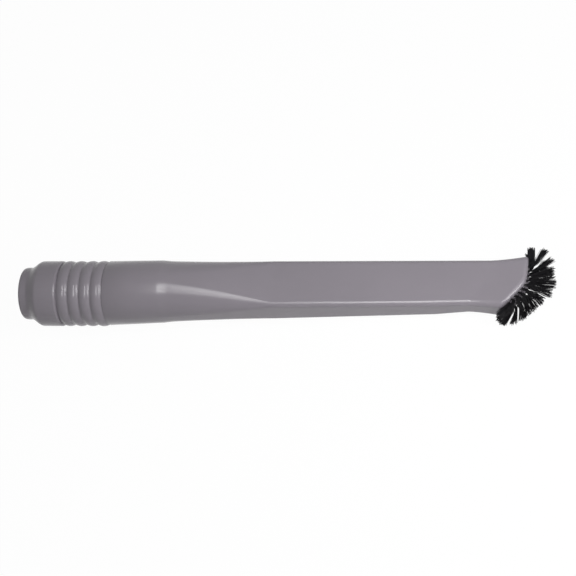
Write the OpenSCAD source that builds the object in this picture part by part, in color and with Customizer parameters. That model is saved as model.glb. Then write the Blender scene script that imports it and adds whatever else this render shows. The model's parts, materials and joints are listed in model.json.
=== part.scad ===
// Vacuum cleaner crevice tool with a brush rim
// One long plastic moulding runs from a round, ribbed neck to a flat nozzle
// with a slanted mouth. Bristle tufts stand in drilled holes round the mouth.
// X runs from the neck's open end to the brush, Y across the broad face, Z up.

/* [Neck] */
// Diameter of the socket that pushes onto the hose end or wand
socket_d = 31.4; // [30:0.1:32]
// Depth of the socket to its stop
socket_depth = 38; // [32:0.5:45]
// Lead-in chamfer at the socket's mouth
socket_chamfer = 0.4; // [0.2:0.1:0.5]
// Outer diameter of the thin lip at the open end
lip_d = 33.8; // [33.6:0.1:36]
// Length of the lip in front of the grip
lip_len = 4.5; // [4:0.5:8]
// Length of the lip's rounded nose
lip_nose = 2.5; // [1.5:0.25:4]
// How far the rounded nose draws in
lip_draw = 0.7; // [0.4:0.1:0.8]
// Outer diameter over the grip and its ribs
grip_d = 42.2; // [40:0.2:46]
// Length of the rounded shoulder between lip and grip
shoulder_len = 8.5; // [6:0.5:14]
// Distance from the open end to the first groove
first_groove = 26.5; // [24:0.5:30]
// Number of finger ribs
rib_count = 4; // [2:1:6]
// Distance from one groove to the next
rib_pitch = 7.6; // [6:0.1:9]
// Depth of the grooves beside the ribs
groove_depth = 1.1; // [0.5:0.1:1.6]
// Width of the narrow floor of a groove
groove_floor = 0.7; // [0.4:0.1:1.2]

/* [Body] */
// Diameter of the plain round part behind the ribs
barrel_d = 41.3; // [38:0.1:43]
// Sideways offset of the round part from the neck's axis
barrel_offset = 0.35; // [0:0.05:1]
// Where the round part starts to flatten
flatten_from = 93; // [80:1:110]
// Where the flattening ends
flatten_to = 166; // [150:1:185]
// Upper edge of the flat part where it begins
upper_edge = 18.8; // [17:0.1:21]
// Lower edge of the flat part where it begins
lower_edge = -13.4; // [-16:0.1:-11]
// Thickness of the flat part where it begins
flat_t = 22.2; // [18:0.1:26]
// Radius along the edges of the flat part
edge_r = 3.2; // [2:0.1:5]
// Upper edge at the mouth
mouth_upper = 20.7; // [18:0.1:23]
// Lower edge at the mouth
mouth_lower = -10.1; // [-12:0.1:-8]
// Thickness at the mouth
mouth_t = 14.2; // [12:0.1:18]
// Wall of the nozzle
wall = 2.2; // [1.6:0.1:3]

/* [Mouth] */
// Length from the neck's open end to the crest of the rim at the nose
crest_x = 324; // [290:1:360]
// Angle of the rim's crest along the slanted part of the mouth
slant = 37; // [20:1:45]
// Angle of the rim's face along the slanted part
face_slant = 43; // [24:1:48]
// Height on the face where the blunt nose turns into the slant
knee_y = 8; // [2:0.5:12]
// How softly the nose turns into the slant
knee_soft = 4; // [1:0.5:8]
// Distance from the rim's crest to its face at the nose
face_step = 1.8; // [1:0.1:3]
// Distance from the rim's crest to its face where the slant begins
face_slope_step = 4.8; // [3:0.1:6]
// How far the rim flares out
flare = 2.0; // [1:0.1:3.5]
// Length over which the rim flares
flare_len = 22; // [14:1:26]
// How far the rounded rim draws in again
rim_draw = 1.8; // [0.8:0.1:2.4]
// Thickness of the rim at its crest, which carries the tufts
rim_wall = 5.4; // [5:0.1:6]

/* [Brush] */
// Diameter of a tuft at its root
tuft_d = 1.8; // [1.6:0.1:2.2]
// Clearance between a tuft and its hole
tuft_clearance = 0.05; // [0.05:0.05:0.1]
// Depth of a tuft hole
hole_depth = 6.5; // [5:0.5:8]
// Length of the straight stem of a tuft over its hole
stem = 1.2; // [0.6:0.1:2]
// Reach of the tufts along the slant
reach_slant = 11; // [8:0.5:16]
// Reach of the tufts beside the blunt nose
reach_nose = 21; // [12:0.5:24]
// Reach of the tufts that fan up at the nose end
reach_end = 7.5; // [6:0.5:14]
// Reach of the tufts that fan down at the heel of the slant
reach_heel = 12.5; // [8:0.5:16]
// Rise of the tufts along the slant on the upper broad side
rise_top = 25; // [10:1:50]
// Rise of the tufts beside the blunt nose on the same side
rise_nose = 36; // [10:1:50]
// Dip of the tufts on the side that lies down
dip_under = 6; // [0:1:30]
// Share of the slant's own angle that the tufts follow
follow_slant = 1.1; // [0.2:0.05:1.2]
// Fan of the tufts round the nose end
fan_nose = 104; // [40:1:110]
// Fan of the tufts round the low end of the slant
fan_heel = 80; // [30:1:100]
// Distance over which the fan at the nose end opens
fan_len = 3.5; // [2:0.5:8]
// Distance over which the fan at the heel opens
heel_len = 5; // [2:0.5:8]
// Distance over which the reach shortens towards the nose end
reach_len = 6.5; // [3:0.5:12]
// Bristle bundles that show in one tuft
bundles = 12; // [7:1:12]
// Diameter of one bundle
bundle_d = 0.55; // [0.4:0.05:0.8]
// How far the bundles spread at their tips
tip_spread = 2.3; // [1:0.1:2.8]

/* [Anchors] */
// Thickness of the flat anchor wire
anchor_t = 0.4; // [0.3:0.05:0.6]
// Height of the anchor wire in the hole
anchor_h = 1.3; // [1:0.1:1.8]

/* [Hidden] */
NODES = ["casing",
    "tuft_01", "tuft_02", "tuft_03", "tuft_04", "tuft_05", "tuft_06", "tuft_07",
    "tuft_08", "tuft_09", "tuft_10", "tuft_11", "tuft_12", "tuft_13", "tuft_14",
    "tuft_15", "tuft_16", "tuft_17", "tuft_18", "tuft_19", "tuft_20", "tuft_21",
    "tuft_22", "tuft_23", "tuft_24", "tuft_25", "tuft_26",
    "tuft_anchors"];

casing_colour = "#8f8b93";
bristle_colour = "#1b1b1d";
anchor_colour = "#b9b6ad";

// Fineness of the curves
corner_steps = 14;
nose_steps = 5;
shoulder_steps = 10;
rib_steps = 12;
flatten_steps = 8;
flare_steps = 5;
rim_steps = 4;
path_fineness = 6;
bundle_sides = 5;
round_sides = 96;
small_round_sides = 24;

// Small lap that lets a cut pass cleanly through a face
lap = 0.5;
// Small step for taking the slope of a curve
slope_step = 0.01;

grip_r = grip_d / 2;
lip_r = lip_d / 2;
barrel_r = barrel_d / 2;
groove_r = grip_r - groove_depth;
groove_edge = 1.4;
rib_roundness = 0.85;
flare_curve = 1.5;
plain_lead = 20;
last_groove = first_groove + rib_count * rib_pitch;
barrel_from = last_groove + groove_floor / 2;
barrel_edge = 0.6;
core_lap = 4;
core_end = barrel_from + core_lap;
stop_ledge = 1.2;
duct_r = socket_d / 2 - stop_ledge;
hole_d = tuft_d + 2 * tuft_clearance;
golden_angle = 137.508;
nose_sharpness = 3;

// One tuft for each node between the casing and the anchors
tuft_count = len(NODES) - 2;

function mix(a, b, t) = a + (b - a) * t;
function clamp01(t) = min(1, max(0, t));
function ease(t) = t * t * (3 - 2 * t);
function soft_ramp(t, soft) = (t + sqrt(t * t + soft * soft)) / 2;

// Curves of the rim's crest and face as seen on the broad face, and their slope
function crest_at(y) = crest_x - tan(slant) * soft_ramp(knee_y - y, knee_soft);
face_knee_y = knee_y - (face_slope_step - face_step) / tan(slant);
function face_at(y) = crest_x + face_step - tan(face_slant) * soft_ramp(face_knee_y - y, knee_soft);
function face_slope(y) = (face_at(y + slope_step) - face_at(y - slope_step)) / (2 * slope_step);

// Where the taper hands over to the flare, well before the heel of the mouth
flat_end = crest_at(mouth_lower) - flare_len - plain_lead;

// Outline of a cross-section: upper and lower edge, half thickness, corner radius
function section(top, bottom, half, r) = [
    for (corner = [0:3], k = [0:corner_steps - 1])
        let (a = 90 * (corner + (k + 0.5) / corner_steps))
        let (cy = corner == 0 || corner == 3 ? top - r : bottom + r)
        let (cz = corner < 2 ? half - r : r - half)
        [cy + r * cos(a), cz + r * sin(a)]];

// How far the body has flattened, narrowed and tapered at a distance along it
function flat_at(x) = clamp01((x - flatten_from) / (flatten_to - flatten_from));
function narrow_at(x) = clamp01((x - barrel_from) / (flatten_to - barrel_from));
function taper_at(x) = clamp01((x - flatten_to) / (crest_x - flatten_to));

// Size of the outer section at a distance along the tool
function top_at(x) =
    mix(mix(barrel_offset + barrel_r, upper_edge, flat_at(x)), mouth_upper, taper_at(x));
function bottom_at(x) =
    mix(mix(barrel_offset - barrel_r, lower_edge, narrow_at(x)), mouth_lower, taper_at(x));
function half_at(x) = mix(mix(barrel_r, flat_t / 2, flat_at(x)), mouth_t / 2, taper_at(x));
function corner_at(x) =
    min(mix(barrel_r, edge_r, flat_at(x)), (top_at(x) - bottom_at(x)) / 2, half_at(x));

function ring_at(x, grow) = [
    for (p = section(top_at(x) + grow, bottom_at(x) - grow, half_at(x) + grow, corner_at(x) + grow))
        [x, p[0], p[1]]];

// Outline of the mouth grown or shrunk, and the ring of points that it makes
// between the rim's crest, where share is 0, and its face, where share is 1
function mouth_outline(grow) =
    section(mouth_upper + grow, mouth_lower - grow, mouth_t / 2 + grow, edge_r + grow / 2);
function mouth_ring(share, shift, grow) = [
    for (p = mouth_outline(grow))
        [mix(crest_at(p[0]), face_at(p[0]), share) + shift, p[0], p[1]]];

outer_rings = concat(
    [ring_at(barrel_from, -barrel_edge), ring_at(barrel_from + barrel_edge / 3, -barrel_edge / 3)],
    [for (x = [barrel_from + barrel_edge, mix(barrel_from, flatten_from, 0.5)]) ring_at(x, 0)],
    [for (k = [0:flatten_steps]) ring_at(mix(flatten_from, flatten_to, k / flatten_steps), 0)],
    [for (k = [1:2]) ring_at(mix(flatten_to, flat_end, k / 2), 0)],
    [for (k = [0:flare_steps])
        let (t = k / flare_steps)
        mouth_ring(0, (t - 1) * flare_len, flare * pow(t, flare_curve))],
    [for (k = [1:rim_steps])
        let (a = 90 * k / rim_steps)
        mouth_ring(sin(a), 0, flare - rim_draw * (1 - cos(a)))]);

duct_rings = concat(
    [for (x = [socket_depth - lap, flatten_from])
        [for (p = section(duct_r, -duct_r, duct_r, duct_r)) [x, p[0], p[1]]]],
    [for (x = [flatten_to, flat_end]) ring_at(x, -wall)],
    [mouth_ring(0, -flare_len, -wall)],
    [for (shift = [-hole_depth, 2 * lap]) mouth_ring(1, shift, flare - rim_wall)]);

// Closed skin over a list of rings that all have the same number of points
module skin(rings) {
    n = len(rings[0]);
    m = len(rings);
    sides = [
        for (i = [0:m - 2], j = [0:n - 1])
            let (a = i * n + j, b = i * n + (j + 1) % n)
            each [[a, b + n, b], [a, a + n, b + n]]];
    ends = [
        [for (j = [0:n - 1]) j],
        [for (j = [n - 1:-1:0]) (m - 1) * n + j]];
    polyhedron([for (ring = rings, p = ring) p], concat(sides, ends), convexity = 8);
}

// Half profile of the neck, as radius and distance from the open end
lip_nose_points = [
    for (k = [0:nose_steps])
        let (a = 90 * k / nose_steps)
        [lip_r - lip_draw * (1 - sin(a)), lip_nose * (1 - cos(a))]];
shoulder_points = [
    for (k = [0:shoulder_steps])
        let (t = k / shoulder_steps)
        [mix(lip_r, grip_r, ease(t)), lip_len + shoulder_len * t]];
collar_edge_points = [
    for (k = [0:nose_steps])
        let (a = 90 * k / nose_steps)
        [mix(groove_r, grip_r, cos(a)),
            first_groove - groove_floor / 2 - groove_edge * (1 - sin(a))]];
rib_points = [
    for (rib = [0:rib_count - 1], k = [0:rib_steps])
        let (u = 2 * k / rib_steps - 1)
        let (middle = first_groove + (rib + 0.5) * rib_pitch)
        [groove_r + groove_depth * pow(1 - u * u, rib_roundness),
            middle + u * (rib_pitch - groove_floor) / 2]];

module neck() {
    profile = concat(
        [[0, 0]], lip_nose_points, shoulder_points, collar_edge_points, rib_points,
        [[groove_r, core_end], [0, core_end]]);
    rotate([0, 90, 0]) rotate_extrude($fn = round_sides) polygon(profile);
}

module socket() {
    rotate([0, 90, 0]) {
        translate([0, 0, -lap]) cylinder(h = socket_depth + lap, d = socket_d, $fn = round_sides);
        translate([0, 0, -lap])
            cylinder(h = socket_chamfer + 2 * lap, r1 = socket_d / 2 + socket_chamfer + lap,
                r2 = socket_d / 2 - lap, $fn = round_sides);
    }
}

// Closed path through the middle of the rim, with the length run up to each point
rim_middle = flare - rim_draw / 2 - rim_wall / 2;
path_outline = mouth_outline(rim_middle);
path = [
    for (j = [0:len(path_outline) - 1], k = [0:path_fineness - 1])
        let (p = mix(path_outline[j], path_outline[(j + 1) % len(path_outline)], k / path_fineness))
        [face_at(p[0]), p[0], p[1]]];
path_run = [
    for (i = 0, s = 0; i <= len(path);
        s = s + norm(path[(i + 1) % len(path)] - path[i % len(path)]), i = i + 1)
        [s, i]];
path_length = path_run[len(path)][0];

function path_point(i) =
    mix(path[floor(i) % len(path)], path[(floor(i) + 1) % len(path)], i - floor(i));
function unit(v) = v / norm(v);

// Place of each tuft and the direction of the rim there
function tuft_index(n) = lookup((n - 0.5) / tuft_count * path_length, path_run);
function tuft_place(n) = path_point(tuft_index(n));
function tuft_tangent(n) =
    unit(path_point(tuft_index(n) + 1) - path_point(tuft_index(n) + len(path) - 1));
// Fan angle on the broad face, rise or dip out of it, and reach of a tuft
function near_nose(y, over) = exp((y - mouth_upper - rim_middle) / over);
function near_heel(y) = exp((mouth_lower - rim_middle - y) / heel_len);
function nose_share(y) = pow(clamp01(1 - face_slope(y) / tan(face_slant)), nose_sharpness);
function tuft_fan(y) =
    fan_nose * near_nose(y, fan_len) - fan_heel * near_heel(y) - follow_slant * atan(face_slope(y));
function tuft_rise(p) =
    (p[2] > 0 ? mix(rise_top, rise_nose, nose_share(p[1])) : -dip_under)
        * min(1, abs(p[2]) / (mouth_t / 2 - edge_r / 2));
function tuft_aim(n) =
    let (p = tuft_place(n))
    let (fan = tuft_fan(p[1]), rise = tuft_rise(p))
    [cos(rise) * cos(fan), cos(rise) * sin(fan), sin(rise)];
function tuft_reach(n) =
    let (y = tuft_place(n)[1])
    let (side = mix(reach_slant, reach_nose, nose_share(y)))
    mix(mix(side, reach_heel, near_heel(y)), reach_end, near_nose(y, reach_len))
        / cos(tuft_rise(tuft_place(n)));

module rod(from, to, d, sides) {
    v = to - from;
    translate(from)
        rotate([0, acos(v[2] / norm(v)), atan2(v[1], v[0])])
            cylinder(h = norm(v), d = d, $fn = sides);
}

// Flat wire across the foot of a tuft, in line with the rim
module anchor(n, grow) {
    t = tuft_tangent(n);
    translate(tuft_place(n) - [hole_depth - anchor_h / 2 - tuft_clearance, 0, 0])
        rotate([atan2(t[2], t[1]), 0, 0])
            cube([anchor_h, tuft_d, anchor_t] + 2 * grow * [1, 1, 1], center = true);
}

module tuft_hole(n) {
    translate(tuft_place(n) - [hole_depth, 0, 0])
        rotate([0, 90, 0])
            cylinder(h = hole_depth + 2 * face_slope_step, d = hole_d, $fn = small_round_sides);
}

module tuft(n) {
    place = tuft_place(n);
    aim = tuft_aim(n);
    across = unit(cross(aim, tuft_tangent(n)));
    along = cross(across, aim);
    root = place + [stem, 0, 0];
    color(bristle_colour) union() {
        difference() {
            translate(place - [hole_depth - tuft_clearance, 0, 0])
                rotate([0, 90, 0])
                    cylinder(h = hole_depth - tuft_clearance + stem, d = tuft_d, $fn = small_round_sides);
            anchor(n, tuft_clearance / 2);
        }
        for (k = [0:bundles - 1]) {
            ring = sqrt((k + 0.5) / bundles);
            around = along * cos(k * golden_angle) + across * sin(k * golden_angle);
            inset = (tuft_d - bundle_d) / 2 * ring;
            rod(root - aim * stem / 2 + around * inset,
                root + aim * tuft_reach(n) + around * tip_spread * ring,
                bundle_d, bundle_sides);
        }
    }
}

module casing() {
    color(casing_colour) difference() {
        union() {
            neck();
            skin(outer_rings);
        }
        socket();
        skin(duct_rings);
        for (n = [1:tuft_count]) tuft_hole(n);
    }
}

module tuft_anchors() {
    color(anchor_colour) for (n = [1:tuft_count]) anchor(n, 0);
}

casing();
for (n = [1:tuft_count])
    tuft(n);
tuft_anchors();
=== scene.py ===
# %% [markdown]
# A vacuum crevice tool with a brush rim
#
# The real tool is one long grey moulding: a round neck with finger ribs, a barrel
# that flattens into a thin nozzle, and a slanted mouth. Tufts of black bristle stand
# in drilled holes all round that mouth. This lesson dresses the finished
# construction model of the tool. We start from its fixed frame, so that every piece
# we make lands where the real one sits.

import json
import math
import random

import bpy
import numpy as np
from mathutils import Matrix, Vector

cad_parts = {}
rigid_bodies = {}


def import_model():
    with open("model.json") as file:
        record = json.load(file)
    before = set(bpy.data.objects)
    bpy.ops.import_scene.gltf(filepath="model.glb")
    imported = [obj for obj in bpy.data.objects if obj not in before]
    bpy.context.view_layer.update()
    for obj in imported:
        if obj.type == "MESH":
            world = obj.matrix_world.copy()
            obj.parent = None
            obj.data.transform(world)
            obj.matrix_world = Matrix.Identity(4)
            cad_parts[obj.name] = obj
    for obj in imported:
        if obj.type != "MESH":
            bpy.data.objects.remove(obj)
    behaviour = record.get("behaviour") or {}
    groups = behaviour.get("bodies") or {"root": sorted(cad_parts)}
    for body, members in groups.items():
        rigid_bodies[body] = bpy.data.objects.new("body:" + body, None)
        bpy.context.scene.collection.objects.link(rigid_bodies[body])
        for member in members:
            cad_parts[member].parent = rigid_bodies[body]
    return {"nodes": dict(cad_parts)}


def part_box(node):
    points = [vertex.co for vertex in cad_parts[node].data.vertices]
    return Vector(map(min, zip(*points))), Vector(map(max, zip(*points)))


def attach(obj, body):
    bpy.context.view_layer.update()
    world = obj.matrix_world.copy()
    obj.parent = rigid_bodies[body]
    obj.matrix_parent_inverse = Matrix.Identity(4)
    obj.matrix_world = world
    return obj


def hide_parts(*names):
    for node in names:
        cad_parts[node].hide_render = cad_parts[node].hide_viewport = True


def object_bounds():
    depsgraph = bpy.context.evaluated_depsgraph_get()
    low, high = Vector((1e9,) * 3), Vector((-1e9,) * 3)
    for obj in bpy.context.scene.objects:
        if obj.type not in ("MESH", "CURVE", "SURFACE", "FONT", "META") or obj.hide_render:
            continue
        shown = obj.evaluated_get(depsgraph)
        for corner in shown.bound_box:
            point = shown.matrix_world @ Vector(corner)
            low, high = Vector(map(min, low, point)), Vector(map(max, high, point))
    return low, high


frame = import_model()
cad_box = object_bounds()
print("nodes in the frame:", len(frame["nodes"]))
print("box of the frame:", [tuple(round(v, 4) for v in corner) for corner in cad_box])

# %% [markdown]
# Sizes
#
# A moulding like this is drawn from a handful of driving sizes: the socket and the
# grip of the neck, the edges and the thickness of the flat nozzle, and the curves of
# the slanted mouth. We write them once, in millimetres, with the meaning that they
# have in the construction model. Everything below is worked out from them.

# %% Driving sizes of the moulding, in millimetres
MM = 0.001

SOCKET_R = 15.7
SOCKET_DEPTH = 38
SOCKET_CHAMFER = 0.4
STOP_LEDGE = 1.2
LIP_R = 16.9
LIP_LEN = 4.5
LIP_NOSE = 2.5
LIP_DRAW = 0.7
GRIP_R = 21.1
SHOULDER_LEN = 8.5
FIRST_GROOVE = 26.5
RIB_COUNT = 4
RIB_PITCH = 7.6
GROOVE_DEPTH = 1.1
GROOVE_FLOOR = 0.7
GROOVE_EDGE = 1.4
RIB_ROUNDNESS = 0.85

BARREL_R = 20.65
BARREL_OFFSET = 0.35
BARREL_EDGE = 0.6
FLATTEN_FROM = 93
FLATTEN_TO = 166
UPPER_EDGE = 18.8
LOWER_EDGE = -13.4
FLAT_HALF = 11.1
EDGE_R = 3.2
MOUTH_UPPER = 20.7
MOUTH_LOWER = -10.1
MOUTH_HALF = 7.1
WALL = 2.2

CREST_X = 324
SLANT = math.radians(37)
FACE_SLANT = math.radians(43)
KNEE_Y = 8
KNEE_SOFT = 4
FACE_STEP = 1.8
FACE_SLOPE_STEP = 4.8
FLARE = 2.0
FLARE_LEN = 22
FLARE_CURVE = 1.5
PLAIN_LEAD = 20
RIM_DRAW = 1.8
RIM_WALL = 5.4
HOLE_DEPTH = 6.5

GROOVE_R = GRIP_R - GROOVE_DEPTH
DUCT_R = SOCKET_R - STOP_LEDGE
BARREL_FROM = FIRST_GROOVE + RIB_COUNT * RIB_PITCH + GROOVE_FLOOR / 2
print("neck ends at", round(BARREL_FROM, 2), "mm, crest of the rim at", CREST_X, "mm")

# %% [markdown]
# Rules of the form
#
# The body could be sculpted, or cut from a subdivided box, but its maker lofted it:
# one outline, a rounded rectangle, changes its four sizes along the length. A circle
# is the same outline with corners so round that no flat is left. So one function
# draws every cross-section, and a few more say how its sizes run along the tool. The
# mouth isn't cut off straight. Its crest and its face are two curves on the broad
# face: blunt at the nose, then slanted, with a soft knee between.

# %% How sizes change along the tool
def mix(a, b, t):
    return a + (b - a) * t


def clamp01(t):
    return min(1.0, max(0.0, t))


def ease(t):
    return t * t * (3 - 2 * t)


def soft_ramp(t, soft):
    return (t + np.sqrt(t * t + soft * soft)) / 2


def crest_at(y):
    return CREST_X - math.tan(SLANT) * soft_ramp(KNEE_Y - y, KNEE_SOFT)


FACE_KNEE_Y = KNEE_Y - (FACE_SLOPE_STEP - FACE_STEP) / math.tan(SLANT)


def face_at(y):
    return CREST_X + FACE_STEP - math.tan(FACE_SLANT) * soft_ramp(FACE_KNEE_Y - y, KNEE_SOFT)


FLAT_END = crest_at(MOUTH_LOWER) - FLARE_LEN - PLAIN_LEAD


def body_sizes(x):
    """Upper edge, lower edge, half thickness and corner radius at a distance along the tool."""
    flat = clamp01((x - FLATTEN_FROM) / (FLATTEN_TO - FLATTEN_FROM))
    narrow = clamp01((x - BARREL_FROM) / (FLATTEN_TO - BARREL_FROM))
    taper = clamp01((x - FLATTEN_TO) / (CREST_X - FLATTEN_TO))
    top = mix(mix(BARREL_OFFSET + BARREL_R, UPPER_EDGE, flat), MOUTH_UPPER, taper)
    bottom = mix(mix(BARREL_OFFSET - BARREL_R, LOWER_EDGE, narrow), MOUTH_LOWER, taper)
    half = mix(mix(BARREL_R, FLAT_HALF, flat), MOUTH_HALF, taper)
    corner = min(mix(BARREL_R, EDGE_R, flat), (top - bottom) / 2, half)
    return top, bottom, half, corner


print("flare starts at", round(float(crest_at(MOUTH_LOWER)) - FLARE_LEN, 1), "mm at the heel")

# %% One outline for every cross-section
CORNER_STEPS = 30
FLAT_STEPS = 14
CROWN = 0.045
BULGE = 0.5


def corner_points(top, bottom, half, corner_r, steps):
    """The four rounded corners of a rounded rectangle, as points (y, z)."""
    corners = []
    for corner in range(4):
        centre_y = top - corner_r if corner in (0, 3) else bottom + corner_r
        centre_z = half - corner_r if corner < 2 else corner_r - half
        turn = np.radians(90 * (corner + (np.arange(steps) + 0.5) / steps))
        corners.append(
            np.column_stack([centre_y + corner_r * np.cos(turn), centre_z + corner_r * np.sin(turn)])
        )
    return corners


def section(top, bottom, half, corner_r):
    """Closed outline with fine corners, and a few points across each flat."""
    corners = corner_points(top, bottom, half, corner_r, CORNER_STEPS)
    share = np.linspace(0, 1, FLAT_STEPS + 1)[1:-1, None]
    outline = []
    for here, following in zip(corners, corners[1:] + corners[:1]):
        outline += [here, mix(here[-1], following[0], share)]
    return np.vstack(outline)


def crowned(outline, top, bottom, crown):
    """Thin the section a little towards its edges, so that the broad faces bulge."""
    across = (2 * outline[:, 0] - top - bottom) / (top - bottom)
    outline[:, 1] *= 1 - crown * across**2
    return outline


def round_ring(x, radius, centre_y=0.0):
    outline = section(centre_y + radius, centre_y - radius, radius, radius)
    return np.column_stack([np.full(len(outline), float(x)), outline])


def body_ring(x, grow=0.0):
    top, bottom, half, corner_r = body_sizes(x)
    outline = section(top + grow, bottom - grow, half + grow, corner_r + grow)
    flat = clamp01((x - FLATTEN_FROM) / (FLATTEN_TO - FLATTEN_FROM))
    outline = crowned(outline, top, bottom, CROWN * flat + BULGE * flat * (1 - flat))
    return np.column_stack([np.full(len(outline), float(x)), outline])


def mouth_ring(share, shift, grow):
    """A ring between the rim's crest, where share is 0, and its face, where share is 1."""
    outline = section(MOUTH_UPPER + grow, MOUTH_LOWER - grow, MOUTH_HALF + grow, EDGE_R + grow / 2)
    outline = crowned(outline, MOUTH_UPPER, MOUTH_LOWER, CROWN)
    along = mix(crest_at(outline[:, 0]), face_at(outline[:, 0]), share) + shift
    return np.column_stack([along, outline])


print("points in a ring:", len(round_ring(0, GRIP_R)))

# %% [markdown]
# The neck
#
# The neck is a round stretch that slips over a wand. It has a thin lip, a soft
# shoulder, a plain collar, and four finger ribs with narrow grooves beside them. On
# the mould these are turned, so we draw the half profile as radius against length
# and turn it. Each rib is a low rounded crest, which is what catches the lamp.

# %% Rings of the neck
NOSE_STEPS = 6
SHOULDER_STEPS = 14
EDGE_STEPS = 6
RIB_STEPS = 18


def neck_profile():
    """Pairs of distance and radius from the open end to the last groove."""
    profile = []
    for k in range(NOSE_STEPS + 1):
        turn = math.pi / 2 * k / NOSE_STEPS
        profile.append((LIP_NOSE * (1 - math.cos(turn)), LIP_R - LIP_DRAW * (1 - math.sin(turn))))
    for k in range(SHOULDER_STEPS + 1):
        t = k / SHOULDER_STEPS
        profile.append((LIP_LEN + SHOULDER_LEN * t, mix(LIP_R, GRIP_R, ease(t))))
    edge_from = FIRST_GROOVE - GROOVE_FLOOR / 2
    for k in range(EDGE_STEPS + 1):
        turn = math.pi / 2 * k / EDGE_STEPS
        profile.append((edge_from - GROOVE_EDGE * (1 - math.sin(turn)), mix(GROOVE_R, GRIP_R, math.cos(turn))))
    for rib in range(RIB_COUNT):
        middle = FIRST_GROOVE + (rib + 0.5) * RIB_PITCH
        for k in range(RIB_STEPS + 1):
            u = 2 * k / RIB_STEPS - 1
            rise = GROOVE_DEPTH * (1 - u * u) ** RIB_ROUNDNESS
            profile.append((middle + u * (RIB_PITCH - GROOVE_FLOOR) / 2, GROOVE_R + rise))
    return profile


neck_rings = [round_ring(x, radius) for x, radius in neck_profile()]
print("rings in the neck:", len(neck_rings))

# %% [markdown]
# The barrel, the nozzle and the rim
#
# Behind the ribs the moulding is a plain barrel. It flattens over about seven
# centimetres, tapers gently, and flares out just before the mouth. There it rolls
# over into a thick rim that faces forward, to hold the tufts.

# %% Rings of the body and of the rim
FLATTEN_STEPS = 40
TAPER_STEPS = 12
FLARE_STEPS = 24
RIM_STEPS = 12

body_rings = [
    body_ring(BARREL_FROM, -BARREL_EDGE),
    body_ring(BARREL_FROM + BARREL_EDGE / 3, -BARREL_EDGE / 3),
    body_ring(BARREL_FROM + BARREL_EDGE),
    body_ring(mix(BARREL_FROM, FLATTEN_FROM, 0.5)),
]
for k in range(FLATTEN_STEPS + 1):
    body_rings.append(body_ring(mix(FLATTEN_FROM, FLATTEN_TO, k / FLATTEN_STEPS)))
for k in range(1, TAPER_STEPS + 1):
    body_rings.append(body_ring(mix(FLATTEN_TO, FLAT_END, k / TAPER_STEPS)))

rim_rings = []
for k in range(FLARE_STEPS + 1):
    t = k / FLARE_STEPS
    rim_rings.append(mouth_ring(0, (t - 1) * FLARE_LEN, FLARE * t**FLARE_CURVE))
for k in range(1, RIM_STEPS + 1):
    turn = math.pi / 2 * k / RIM_STEPS
    rim_rings.append(mouth_ring(math.sin(turn), 0, FLARE - RIM_DRAW * (1 - math.cos(turn))))
print("rings in the body:", len(body_rings), "and in the rim:", len(rim_rings))

# %% [markdown]
# The duct and the socket
#
# The tool is hollow from end to end, and the open ends show it. From the mouth we
# walk back inside: a straight throat behind the rim, the flat duct, the round duct,
# the ledge that stops the wand, and the socket with its small lead-in chamfer.

# %% Rings of the inside
THROAT_STEPS = 8

inner_rings = [
    mouth_ring(1, 0, FLARE - RIM_WALL),
    mouth_ring(1, -HOLE_DEPTH, FLARE - RIM_WALL),
    mouth_ring(0, -FLARE_LEN, -WALL),
    body_ring(FLAT_END, -WALL),
    body_ring(FLATTEN_TO, -WALL),
]
for k in range(1, THROAT_STEPS + 1):
    t = k / THROAT_STEPS
    round_duct = round_ring(FLATTEN_FROM, DUCT_R)
    inner_rings.append(mix(body_ring(FLATTEN_TO, -WALL), round_duct, t))
inner_rings += [
    round_ring(SOCKET_DEPTH, DUCT_R),
    round_ring(SOCKET_DEPTH, SOCKET_R),
    round_ring(SOCKET_CHAMFER, SOCKET_R),
    round_ring(0, SOCKET_R + SOCKET_CHAMFER),
]
print("rings inside:", len(inner_rings))

# %% [markdown]
# From rings to a solid
#
# Every ring has the same number of points, so neighbours join with plain quads. The
# last ring, at the socket's mouth, joins back to the first, at the lip. That makes a
# closed skin with a hole through it, like a real tube. Smooth shading hides the
# quads, and edges sharper than a set angle stay crisp, such as the stop ledge.

# %% Build a mesh from points in millimetres
CRISP_ANGLE = math.radians(38)


def mesh_object(name, points, faces, crisp=CRISP_ANGLE):
    mesh = bpy.data.meshes.new(name)
    mesh.from_pydata((np.asarray(points) * MM).tolist(), [], faces)
    mesh.validate()
    mesh.polygons.foreach_set("use_smooth", [True] * len(mesh.polygons))
    mesh.set_sharp_from_angle(angle=crisp)
    piece = bpy.data.objects.new(name, mesh)
    bpy.context.scene.collection.objects.link(piece)
    return piece


def closed_skin(rings):
    """Quads between each ring and the next, and from the last back to the first."""
    count, size = len(rings), len(rings[0])
    faces = []
    for i in range(count):
        for j in range(size):
            after, beside = (i + 1) % count, (j + 1) % size
            faces.append(
                (i * size + j, after * size + j, after * size + beside, i * size + beside)
            )
    return np.vstack(rings), faces


casing_points, casing_faces = closed_skin(neck_rings + body_rings + rim_rings + inner_rings)
casing = mesh_object("moulded_casing", casing_points, casing_faces)
print("casing:", len(casing.data.vertices), "points,", len(casing.data.polygons), "faces")

# %% [markdown]
# Where the tufts stand
#
# A brush machine drills a hole, folds a bundle of bristle over a scrap of flat wire
# and drives it in. The holes follow the middle of the rim at even steps. So we walk
# round that line, measure its length, and divide it by the number of tufts, which we
# count in the frame.

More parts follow.
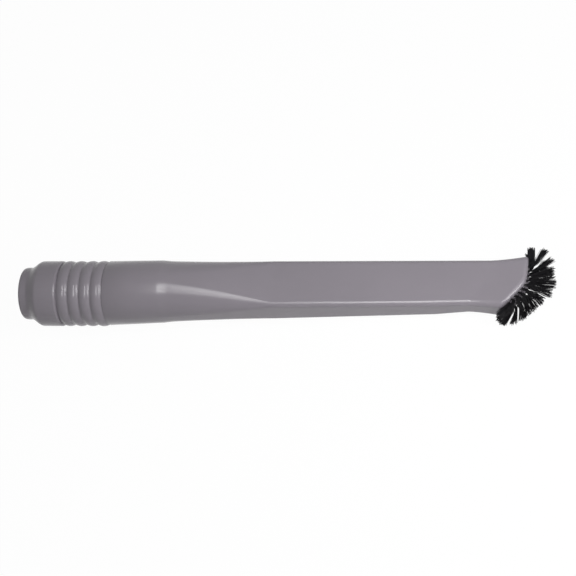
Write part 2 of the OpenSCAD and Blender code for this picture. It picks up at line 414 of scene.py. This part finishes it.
# %% Places, directions and lengths of the tufts
TUFT_NODES = sorted(name for name in frame["nodes"] if name.startswith("tuft_") and name[5:].isdigit())
PATH_CORNER_STEPS = 14
PATH_FINENESS = 6
TUFT_R = 0.9
HOLE_R = 0.95
STEM = 1.2
REACH_SLANT = 11
REACH_NOSE = 21
REACH_END = 7.5
REACH_HEEL = 12.5
RISE_TOP = 25
RISE_NOSE = 36
DIP_UNDER = 6
FOLLOW_SLANT = 1.1
FAN_NOSE = 104
FAN_HEEL = 80
FAN_LEN = 3.5
HEEL_LEN = 5
REACH_LEN = 6.5
NOSE_SHARPNESS = 3
SLOPE_STEP = 0.01

RIM_MIDDLE = FLARE - RIM_DRAW / 2 - RIM_WALL / 2


def rim_path():
    outline = np.vstack(
        corner_points(
            MOUTH_UPPER + RIM_MIDDLE,
            MOUTH_LOWER - RIM_MIDDLE,
            MOUTH_HALF + RIM_MIDDLE,
            EDGE_R + RIM_MIDDLE / 2,
            PATH_CORNER_STEPS,
        )
    )
    following = np.roll(outline, -1, axis=0)
    share = (np.arange(PATH_FINENESS) / PATH_FINENESS)[None, :, None]
    fine = mix(outline[:, None, :], following[:, None, :], share).reshape(-1, 2)
    return np.column_stack([face_at(fine[:, 0]), fine])


def near_nose(y, over):
    return math.exp((y - MOUTH_UPPER - RIM_MIDDLE) / over)


def near_heel(y):
    return math.exp((MOUTH_LOWER - RIM_MIDDLE - y) / HEEL_LEN)


def face_slope(y):
    return float(face_at(y + SLOPE_STEP) - face_at(y - SLOPE_STEP)) / (2 * SLOPE_STEP)


def nose_share(y):
    return clamp01(1 - face_slope(y) / math.tan(FACE_SLANT)) ** NOSE_SHARPNESS


def tuft_stands():
    """Place, aim, direction along the rim and reach of each tuft."""
    path = rim_path()
    steps = np.linalg.norm(np.roll(path, -1, axis=0) - path, axis=1)
    run = np.concatenate([[0], np.cumsum(steps)])
    closed = np.vstack([path, path[:1]])
    stands = []
    for n in range(len(TUFT_NODES)):
        at = np.interp((n + 0.5) / len(TUFT_NODES) * run[-1], run, np.arange(len(run)))
        place = np.array([np.interp(at, np.arange(len(closed)), closed[:, axis]) for axis in range(3)])
        ahead, behind = path[int(at + 1) % len(path)], path[int(at - 1) % len(path)]
        along = (ahead - behind) / np.linalg.norm(ahead - behind)
        y, z = place[1], place[2]
        fan = FAN_NOSE * near_nose(y, FAN_LEN) - FAN_HEEL * near_heel(y)
        fan = math.radians(fan) - FOLLOW_SLANT * math.atan(face_slope(y))
        rise = math.radians(mix(RISE_TOP, RISE_NOSE, nose_share(y)) if z > 0 else -DIP_UNDER)
        rise *= min(1, abs(z) / (MOUTH_HALF - EDGE_R / 2))
        aim = np.array(
            [math.cos(rise) * math.cos(fan), math.cos(rise) * math.sin(fan), math.sin(rise)]
        )
        reach = mix(mix(REACH_SLANT, REACH_NOSE, nose_share(y)), REACH_HEEL, near_heel(y))
        reach = mix(reach, REACH_END, near_nose(y, REACH_LEN)) / math.cos(rise)
        stands.append((place, aim, along, reach))
    return stands


tufts = tuft_stands()
print("tufts:", len(tufts), "longest reach", round(max(stand[3] for stand in tufts), 1), "mm")

# %% [markdown]
# Drilling the rim
#
# A boolean cuts the blind holes into the casing, as the drill does on the real part.
# It is slower than painting dark spots, but then each tuft really stands in a hole,
# and the mesh is right wherever the bristles part.

# %% Drill a hole for each tuft
HOLE_SIDES = 20


def drill(place):
    """Points and faces of one round cutter along the tool."""
    turn = np.linspace(0, 2 * math.pi, HOLE_SIDES, endpoint=False)
    circle = np.column_stack([np.zeros(HOLE_SIDES), np.cos(turn), np.sin(turn)]) * HOLE_R
    foot = circle + place - [HOLE_DEPTH, 0, 0]
    head = circle + place + [2 * FACE_SLOPE_STEP, 0, 0]
    sides = [
        (j, (j + 1) % HOLE_SIDES, HOLE_SIDES + (j + 1) % HOLE_SIDES, HOLE_SIDES + j)
        for j in range(HOLE_SIDES)
    ]
    ends = [tuple(range(HOLE_SIDES))[::-1], tuple(range(HOLE_SIDES, 2 * HOLE_SIDES))]
    return np.vstack([foot, head]), sides + ends


def join_parts(parts):
    """One list of points and one of faces from several."""
    points, faces, start = [], [], 0
    for some_points, some_faces in parts:
        points.append(some_points)
        faces += [tuple(start + i for i in face) for face in some_faces]
        start += len(some_points)
    return np.vstack(points), faces


drills = mesh_object("tuft_drills", *join_parts([drill(stand[0]) for stand in tufts]))
cut = casing.modifiers.new("tuft_holes", "BOOLEAN")
cut.object = drills
cut.operation = "DIFFERENCE"
cut.solver = "EXACT"
evaluated = casing.evaluated_get(bpy.context.evaluated_depsgraph_get())
drilled = bpy.data.meshes.new_from_object(evaluated)
casing.modifiers.clear()
casing.data = drilled
drilled.polygons.foreach_set("use_smooth", [True] * len(drilled.polygons))
drilled.set_sharp_from_angle(angle=CRISP_ANGLE)
bpy.data.objects.remove(drills)
print("casing after drilling:", len(drilled.polygons), "faces")

# %% [markdown]
# The bristles
#
# A tuft is a bundle of nylon filaments, each about a fifth of a millimetre thick.
# Hair particles would draw them quickly, but they leave no mesh behind. So each
# filament is a thin tube of its own. It stands straight in the hole, bends over the
# edge of the rim into the tuft's fan, and ends where its own length runs out. A
# little scatter in length, spread and bend makes them look used. The random numbers
# are seeded, so the brush is the same each time.

# %% Grow the filaments
FILAMENTS = 84
FILAMENT_R = 0.1
FILAMENT_SIDES = 4
FILAMENT_STEPS = 9
ROOT_FILL = 0.86
SPREAD_UPPER = 2.3
SPREAD_LOWER = 2.6
CURVE_UPPER = 0.4
CURVE_LOWER = 0.9
BEND_START = 0.35
BEND_END = 0.3
TIP_SCATTER = 0.45
LENGTH_SCATTER = 0.18
BEND = 0.9
FOOT_CLEARANCE = 0.1
GOLDEN_ANGLE = math.radians(137.508)

random.seed(26)


def filament_line(stand, number, low, high):
    """Middle line of one filament, kept inside the box of its own tuft."""
    place, aim, along, reach = stand
    upper = place[2] > 0
    spread, curve = (SPREAD_UPPER, CURVE_UPPER) if upper else (SPREAD_LOWER, CURVE_LOWER)
    across = np.cross(aim, along)
    across /= np.linalg.norm(across)
    side = np.cross(across, aim)
    spot = math.sqrt((number + 0.5) / FILAMENTS)
    turn = number * GOLDEN_ANGLE
    foot_side = TUFT_R * ROOT_FILL * spot * np.array([0, math.cos(turn), math.sin(turn)])
    tip_side = (side * math.cos(turn) + across * math.sin(turn)) * spread * spot
    tip_side += (side * random.gauss(0, 1) + across * random.gauss(0, 1)) * TIP_SCATTER
    length = reach * (1 - LENGTH_SCATTER * random.random())
    bend = (side * random.uniform(-1, 1) + across * random.uniform(-1, 1)) * BEND
    foot = place - [HOLE_DEPTH - FOOT_CLEARANCE, 0, 0] + foot_side
    root = place + foot_side
    tip = root + np.array([STEM, 0, 0]) + aim * length
    leave = root + np.array([length * BEND_START, 0, 0])
    arrive = tip - aim * length * BEND_END
    line = [foot, root]
    for k in range(1, FILAMENT_STEPS + 1):
        t = k / FILAMENT_STEPS
        near, middle, far = mix(root, leave, t), mix(leave, arrive, t), mix(arrive, tip, t)
        ahead = mix(mix(near, middle, t), mix(middle, far, t), t)
        line.append(ahead + tip_side * t**curve + bend * (1 - t) * t)
    inset = FILAMENT_R * 1.5
    return np.clip(line, np.array(low) / MM + inset, np.array(high) / MM - inset)


def tube(line, radius):
    """A thin tube along a line, closed at both ends."""
    heading = np.gradient(line, axis=0)
    heading /= np.linalg.norm(heading, axis=1)[:, None]
    first = np.cross(heading, [0.31, -0.22, 0.92])
    first /= np.linalg.norm(first, axis=1)[:, None]
    second = np.cross(heading, first)
    turn = np.linspace(0, 2 * math.pi, FILAMENT_SIDES, endpoint=False)
    ring = first[:, None, :] * np.cos(turn)[None, :, None] + second[:, None, :] * np.sin(turn)[None, :, None]
    points = (line[:, None, :] + ring * radius).reshape(-1, 3)
    faces = []
    for i in range(len(line) - 1):
        for j in range(FILAMENT_SIDES):
            beside = (j + 1) % FILAMENT_SIDES
            a, b = i * FILAMENT_SIDES, (i + 1) * FILAMENT_SIDES
            faces.append((a + j, a + beside, b + beside, b + j))
    last = (len(line) - 1) * FILAMENT_SIDES
    faces.append(tuple(range(FILAMENT_SIDES))[::-1])
    faces.append(tuple(last + j for j in range(FILAMENT_SIDES)))
    return points, faces


def bristle_tuft(name, node, stand):
    low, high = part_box(node)
    tubes = [tube(filament_line(stand, k, low, high), FILAMENT_R) for k in range(FILAMENTS)]
    piece = mesh_object(name, *join_parts(tubes), crisp=math.radians(80))
    shade = piece.data.attributes.new("filament_shade", "FLOAT", "POINT")
    shades = np.repeat([random.random() for _ in tubes], len(tubes[0][0]))
    shade.data.foreach_set("value", shades.astype(np.float32))
    return piece


bristles = []
for node, stand in zip(TUFT_NODES, tufts):
    bristles.append(bristle_tuft("bristles_" + node[5:], node, stand))
print("bristle tufts:", len(bristles), "with", len(bristles[0].data.polygons), "faces each")

# %% [markdown]
# Shared effects
#
# Two effects come back in more than one material. The first is a fine moulded grain,
# the satin that a spark-eroded mould leaves. The second is handling: patches where
# hands and furniture have rubbed the surface a little smoother or duller. Each is a
# node group with named sockets, built once and placed in each material with its own
# values.

# %% Build the shared node groups
def new_group(name, inputs, outputs):
    group = bpy.data.node_groups.new(name, "ShaderNodeTree")
    for label, kind, value in inputs:
        socket = group.interface.new_socket(label, in_out="INPUT", socket_type=kind)
        socket.default_value = value
    for label, kind in outputs:
        group.interface.new_socket(label, in_out="OUTPUT", socket_type=kind)
    return group, group.nodes.new("NodeGroupInput"), group.nodes.new("NodeGroupOutput")


def noise(tree, detail, roughness):
    node = tree.nodes.new("ShaderNodeTexNoise")
    node.inputs["Detail"].default_value = detail
    node.inputs["Roughness"].default_value = roughness
    return node


def mapped(tree, low, high, to_low, to_high):
    node = tree.nodes.new("ShaderNodeMapRange")
    node.inputs["From Min"].default_value = low
    node.inputs["From Max"].default_value = high
    node.inputs["To Min"].default_value = to_low
    node.inputs["To Max"].default_value = to_high
    return node


def moulded_grain_group():
    group, source, result = new_group(
        "moulded_grain",
        [("Vector", "NodeSocketVector", (0, 0, 0)), ("Grain", "NodeSocketFloat", 2500.0)],
        [("Height", "NodeSocketFloat")],
    )
    grain = noise(group, 3, 0.6)
    group.links.new(source.outputs["Vector"], grain.inputs["Vector"])
    group.links.new(source.outputs["Grain"], grain.inputs["Scale"])
    group.links.new(grain.outputs["Fac"], result.inputs["Height"])
    return group


def handling_group():
    group, source, result = new_group(
        "handling",
        [
            ("Vector", "NodeSocketVector", (0, 0, 0)),
            ("Patches", "NodeSocketFloat", 22.0),
            ("Strokes", "NodeSocketFloat", 240.0),
        ],
        [("Patch", "NodeSocketFloat"), ("Rub", "NodeSocketFloat")],
    )
    patch = noise(group, 4, 0.55)
    stretch = group.nodes.new("ShaderNodeMapping")
    stretch.inputs["Scale"].default_value = (0.12, 1.0, 1.0)
    rub = noise(group, 5, 0.65)
    group.links.new(source.outputs["Vector"], patch.inputs["Vector"])
    group.links.new(source.outputs["Patches"], patch.inputs["Scale"])
    group.links.new(source.outputs["Vector"], stretch.inputs["Vector"])
    group.links.new(stretch.outputs["Vector"], rub.inputs["Vector"])
    group.links.new(source.outputs["Strokes"], rub.inputs["Scale"])
    group.links.new(patch.outputs["Fac"], result.inputs["Patch"])
    group.links.new(rub.outputs["Fac"], result.inputs["Rub"])
    return group


GRAIN = moulded_grain_group()
HANDLING = handling_group()
print("node groups:", [group.name for group in bpy.data.node_groups])

# %% [markdown]
# The materials
#
# The casing is a mid-grey plastic with a slight purple cast and a satin gloss. Its
# colour hardly changes, so the life comes from roughness: a fine grain and faint
# rubbed patches. The bristle is near-black nylon, glossier, and each filament takes
# its own shade. The wire is bright steel that only shows when a tuft is pulled.

# %% Helpers for materials
def new_material(name):
    material = bpy.data.materials.new(name)
    material.use_nodes = True
    return material, material.node_tree, material.node_tree.nodes["Principled BSDF"]


def place_group(tree, group, **values):
    node = tree.nodes.new("ShaderNodeGroup")
    node.node_tree = group
    for label, value in values.items():
        node.inputs[label].default_value = value
    return node


def two_tone(tree, shader, mask, dark, light):
    tones = tree.nodes.new("ShaderNodeMix")
    tones.data_type = "RGBA"
    tones.inputs["A"].default_value = (*dark, 1)
    tones.inputs["B"].default_value = (*light, 1)
    tree.links.new(mask, tones.inputs["Factor"])
    tree.links.new(tones.outputs["Result"], shader.inputs["Base Color"])


def grain_bump(tree, shader, height, strength, distance):
    bump = tree.nodes.new("ShaderNodeBump")
    bump.inputs["Strength"].default_value = strength
    bump.inputs["Distance"].default_value = distance
    tree.links.new(height, bump.inputs["Height"])
    tree.links.new(bump.outputs["Normal"], shader.inputs["Normal"])


# %% Grey moulded plastic
CASING_DARK = (0.187, 0.171, 0.194)
CASING_LIGHT = (0.218, 0.2, 0.225)


def casing_plastic():
    material, tree, shader = new_material("casing_plastic")
    where = tree.nodes.new("ShaderNodeTexCoord").outputs["Object"]
    grain = place_group(tree, GRAIN, Grain=2600.0)
    marks = place_group(tree, HANDLING, Patches=24.0, Strokes=260.0)
    tree.links.new(where, grain.inputs["Vector"])
    tree.links.new(where, marks.inputs["Vector"])
    two_tone(tree, shader, marks.outputs["Patch"], CASING_DARK, CASING_LIGHT)
    gloss = mapped(tree, 0.0, 1.0, 0.14, 0.26)
    tree.links.new(marks.outputs["Patch"], gloss.inputs["Value"])
    tree.links.new(gloss.outputs["Result"], shader.inputs["Roughness"])
    grain_bump(tree, shader, grain.outputs["Height"], 0.12, 0.00008)
    shader.inputs["Specular IOR Level"].default_value = 0.4
    return material


# %% Black nylon bristle
BRISTLE_DARK = (0.003, 0.003, 0.004)
BRISTLE_LIGHT = (0.02, 0.019, 0.021)


def bristle_nylon():
    material, tree, shader = new_material("bristle_nylon")
    where = tree.nodes.new("ShaderNodeTexCoord").outputs["Object"]
    shade = tree.nodes.new("ShaderNodeAttribute")
    shade.attribute_name = "filament_shade"
    two_tone(tree, shader, shade.outputs["Fac"], BRISTLE_DARK, BRISTLE_LIGHT)
    marks = place_group(tree, HANDLING, Patches=300.0, Strokes=900.0)
    tree.links.new(where, marks.inputs["Vector"])
    gloss = mapped(tree, 0.3, 0.7, 0.35, 0.5)
    tree.links.new(marks.outputs["Patch"], gloss.inputs["Value"])
    tree.links.new(gloss.outputs["Result"], shader.inputs["Roughness"])
    shader.inputs["Specular IOR Level"].default_value = 0.15
    return material


# %% Flat steel wire
WIRE_DARK = (0.42, 0.41, 0.39)
WIRE_LIGHT = (0.58, 0.57, 0.55)


def anchor_steel():
    material, tree, shader = new_material("anchor_steel")
    where = tree.nodes.new("ShaderNodeTexCoord").outputs["Object"]
    grain = place_group(tree, GRAIN, Grain=4000.0)
    tree.links.new(where, grain.inputs["Vector"])
    two_tone(tree, shader, grain.outputs["Height"], WIRE_DARK, WIRE_LIGHT)
    gloss = mapped(tree, 0.3, 0.7, 0.25, 0.45)
    tree.links.new(grain.outputs["Height"], gloss.inputs["Value"])
    tree.links.new(gloss.outputs["Result"], shader.inputs["Roughness"])
    shader.inputs["Metallic"].default_value = 1.0
    return material


# %% Put the materials on and seat the pieces
casing_look = casing_plastic()
bristle_look = bristle_nylon()
wire_look = anchor_steel()

casing.data.materials.clear()
casing.data.materials.append(casing_look)
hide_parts("casing")
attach(casing, "root")

for piece, node in zip(bristles, TUFT_NODES):
    piece.data.materials.append(bristle_look)
    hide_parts(node)
    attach(piece, "root")

anchors = frame["nodes"]["tuft_anchors"]
anchors.data.materials.clear()
anchors.data.materials.append(wire_look)
print("pieces dressed:", 1 + len(bristles), "and one node kept:", anchors.name)

# %% [markdown]
# The floor
#
# Left alone, the tool lies on its barrel and on the rim, so its axis leans a few
# degrees. The tool keeps its own frame here, so the floor leans instead. We find the
# plane that the real one would rest on: in side view, the straight line that touches
# the underside on both sides of the middle. The floor looks white to the camera and
# in reflections, yet keeps a soft shadow.

# %% Find the resting line and lay the floor
def resting_line(points, middle_x):
    """Height at x = 0 and slope of the line that touches the underside."""
    order = points[np.lexsort((points[:, 1], points[:, 0]))]
    hull = []
    for point in order:
        while len(hull) > 1:
            back, last = hull[-2], hull[-1]
            turn = (last[0] - back[0]) * (point[1] - back[1]) - (last[1] - back[1]) * (point[0] - back[0])
            if turn > 0:
                break
            hull.pop()
        hull.append(point)
    for left, right in zip(hull, hull[1:]):
        if left[0] <= middle_x <= right[0]:
            slope = (right[1] - left[1]) / (right[0] - left[0])
            return left[1] - slope * left[0], slope
    raise ValueError("the middle of the tool lies outside its underside")


def side_points(piece):
    co = np.empty(len(piece.data.vertices) * 3)
    piece.data.vertices.foreach_get("co", co)
    return co.reshape(-1, 3)[:, [0, 2]]


underside = np.vstack([side_points(piece) for piece in [casing] + bristles])
FLOOR_GAP = 0.00005
FLOOR_HALF = 3.0
middle_x = (cad_box[0][0] + cad_box[1][0]) / 2
rest_height, rest_slope = resting_line(underside, middle_x)
print("the tool leans", round(math.degrees(math.atan(rest_slope)), 2), "degrees as it lies")


def lay_floor():
    height = rest_height - FLOOR_GAP
    corners = []
    for x, y in ((-1, -1), (1, -1), (1, 1), (-1, 1)):
        at_x = middle_x + x * FLOOR_HALF
        corners.append((at_x, y * FLOOR_HALF, height + rest_slope * at_x))
    mesh = bpy.data.meshes.new("floor")
    mesh.from_pydata(corners, [], [(0, 1, 2, 3)])
    floor = bpy.data.objects.new("floor", mesh)
    bpy.context.scene.collection.objects.link(floor)
    return floor


floor = lay_floor()

# %% A floor that shows white and keeps a soft shadow
SHADOW_SHARE = 0.03


def white_for_seen_rays(tree, strength):
    """1 for camera, glossy and transmission rays, scaled by strength."""
    rays = tree.nodes.new("ShaderNodeLightPath")
    seen = rays.outputs["Is Camera Ray"]
    for label in ("Is Glossy Ray", "Is Transmission Ray"):
        either = tree.nodes.new("ShaderNodeMath")
        either.operation = "MAXIMUM"
        tree.links.new(seen, either.inputs[0])
        tree.links.new(rays.outputs[label], either.inputs[1])
        seen = either.outputs[0]
    scaled = tree.nodes.new("ShaderNodeMath")
    scaled.operation = "MULTIPLY"
    scaled.inputs[1].default_value = strength
    tree.links.new(seen, scaled.inputs[0])
    return scaled.outputs[0]


def floor_paper():
    material, tree, shader = new_material("floor_paper")
    shader.inputs["Base Color"].default_value = (0.8, 0.8, 0.8, 1)
    shader.inputs["Roughness"].default_value = 0.9
    shader.inputs["Specular IOR Level"].default_value = 0.0
    white = tree.nodes.new("ShaderNodeEmission")
    blend = tree.nodes.new("ShaderNodeMixShader")
    tree.links.new(white_for_seen_rays(tree, 1 - SHADOW_SHARE), blend.inputs["Fac"])
    tree.links.new(shader.outputs["BSDF"], blend.inputs[1])
    tree.links.new(white.outputs["Emission"], blend.inputs[2])
    tree.links.new(blend.outputs["Shader"], tree.nodes["Material Output"].inputs["Surface"])
    return material


floor.data.materials.append(floor_paper())


def studio_world(level):
    world = bpy.data.worlds.new("studio")
    bpy.context.scene.world = world
    world.use_nodes = True
    tree = world.node_tree
    surround = tree.nodes["Background"]
    surround.inputs["Color"].default_value = (1, 1, 1, 1)
    surround.inputs["Strength"].default_value = level
    white = tree.nodes.new("ShaderNodeBackground")
    white.inputs["Color"].default_value = (1, 1, 1, 1)
    blend = tree.nodes.new("ShaderNodeMixShader")
    tree.links.new(white_for_seen_rays(tree, 1.0), blend.inputs["Fac"])
    tree.links.new(surround.outputs["Background"], blend.inputs[1])
    tree.links.new(white.outputs["Background"], blend.inputs[2])
    tree.links.new(blend.outputs["Shader"], tree.nodes["World Output"].inputs["Surface"])


studio_world(0.03)

# %% [markdown]
# The lamps and the camera
#
# The key lamp is a narrow panel over the tool, a little to the viewer's side. It draws
# the bright spots on the ribs, the light wedge where the barrel flattens, and the line
# along the lower edge. Two weak lamps stand close to the brush end, so that the tone
# falls off towards the neck. The
# camera looks down on the broad face, turned a little to the brush end, through a
# long lens, as a product photograph is taken.

# %% Hang the lamps
TARGET = Vector((0.174, 0.004, 0.0))


def soft_lamp(name, direction, distance, width, depth, power):
    """A panel that faces the tool, its width along the tool and its depth across it."""
    data = bpy.data.lights.new(name, "AREA")
    data.shape = "RECTANGLE"
    data.size = width
    data.size_y = depth
    data.energy = power
    lamp = bpy.data.objects.new(name, data)
    bpy.context.scene.collection.objects.link(lamp)
    away = Vector(direction).normalized()
    across = away.cross(Vector((1, 0, 0))).normalized()
    along = across.cross(away)
    lamp.matrix_world = Matrix.Translation(TARGET + away * distance) @ Matrix(
        (along, across, away)
    ).transposed().to_4x4()
    return lamp


soft_lamp("key_lamp", (-0.05, -0.28, 0.95), 1.3, 0.22, 0.8, 5.6)
soft_lamp("near_lamp", (0.36, -0.12, 0.9), 0.38, 0.2, 0.2, 0.6)
soft_lamp("end_lamp", (0.6, -0.2, 0.55), 0.6, 0.3, 0.3, 2.2)

# %% Set up the camera
CAMERA_TURN = math.radians(12.5)
CAMERA_TILT = math.radians(25)
CAMERA_DISTANCE = 1.15
CAMERA_LENS = 113.6
CAMERA_TARGET = Vector((0.17416, 0.004, 0.0))

back = Vector(
    (
        math.sin(CAMERA_TURN),
        -math.sin(CAMERA_TILT) * math.cos(CAMERA_TURN),
        math.cos(CAMERA_TILT) * math.cos(CAMERA_TURN),
    )
)
up = Vector((0, math.cos(CAMERA_TILT), math.sin(CAMERA_TILT)))
right = up.cross(back)
camera_data = bpy.data.cameras.new("camera")
camera_data.lens = CAMERA_LENS
camera_data.sensor_width = 36
camera_data.clip_end = 20
camera = bpy.data.objects.new("camera", camera_data)
bpy.context.scene.collection.objects.link(camera)
camera.matrix_world = Matrix.Translation(CAMERA_TARGET + back * CAMERA_DISTANCE) @ Matrix(
    (right, up, back)
).transposed().to_4x4()
bpy.context.scene.camera = camera
bpy.context.scene.view_settings.view_transform = "Standard"
print("camera at", [round(v, 3) for v in camera.location])
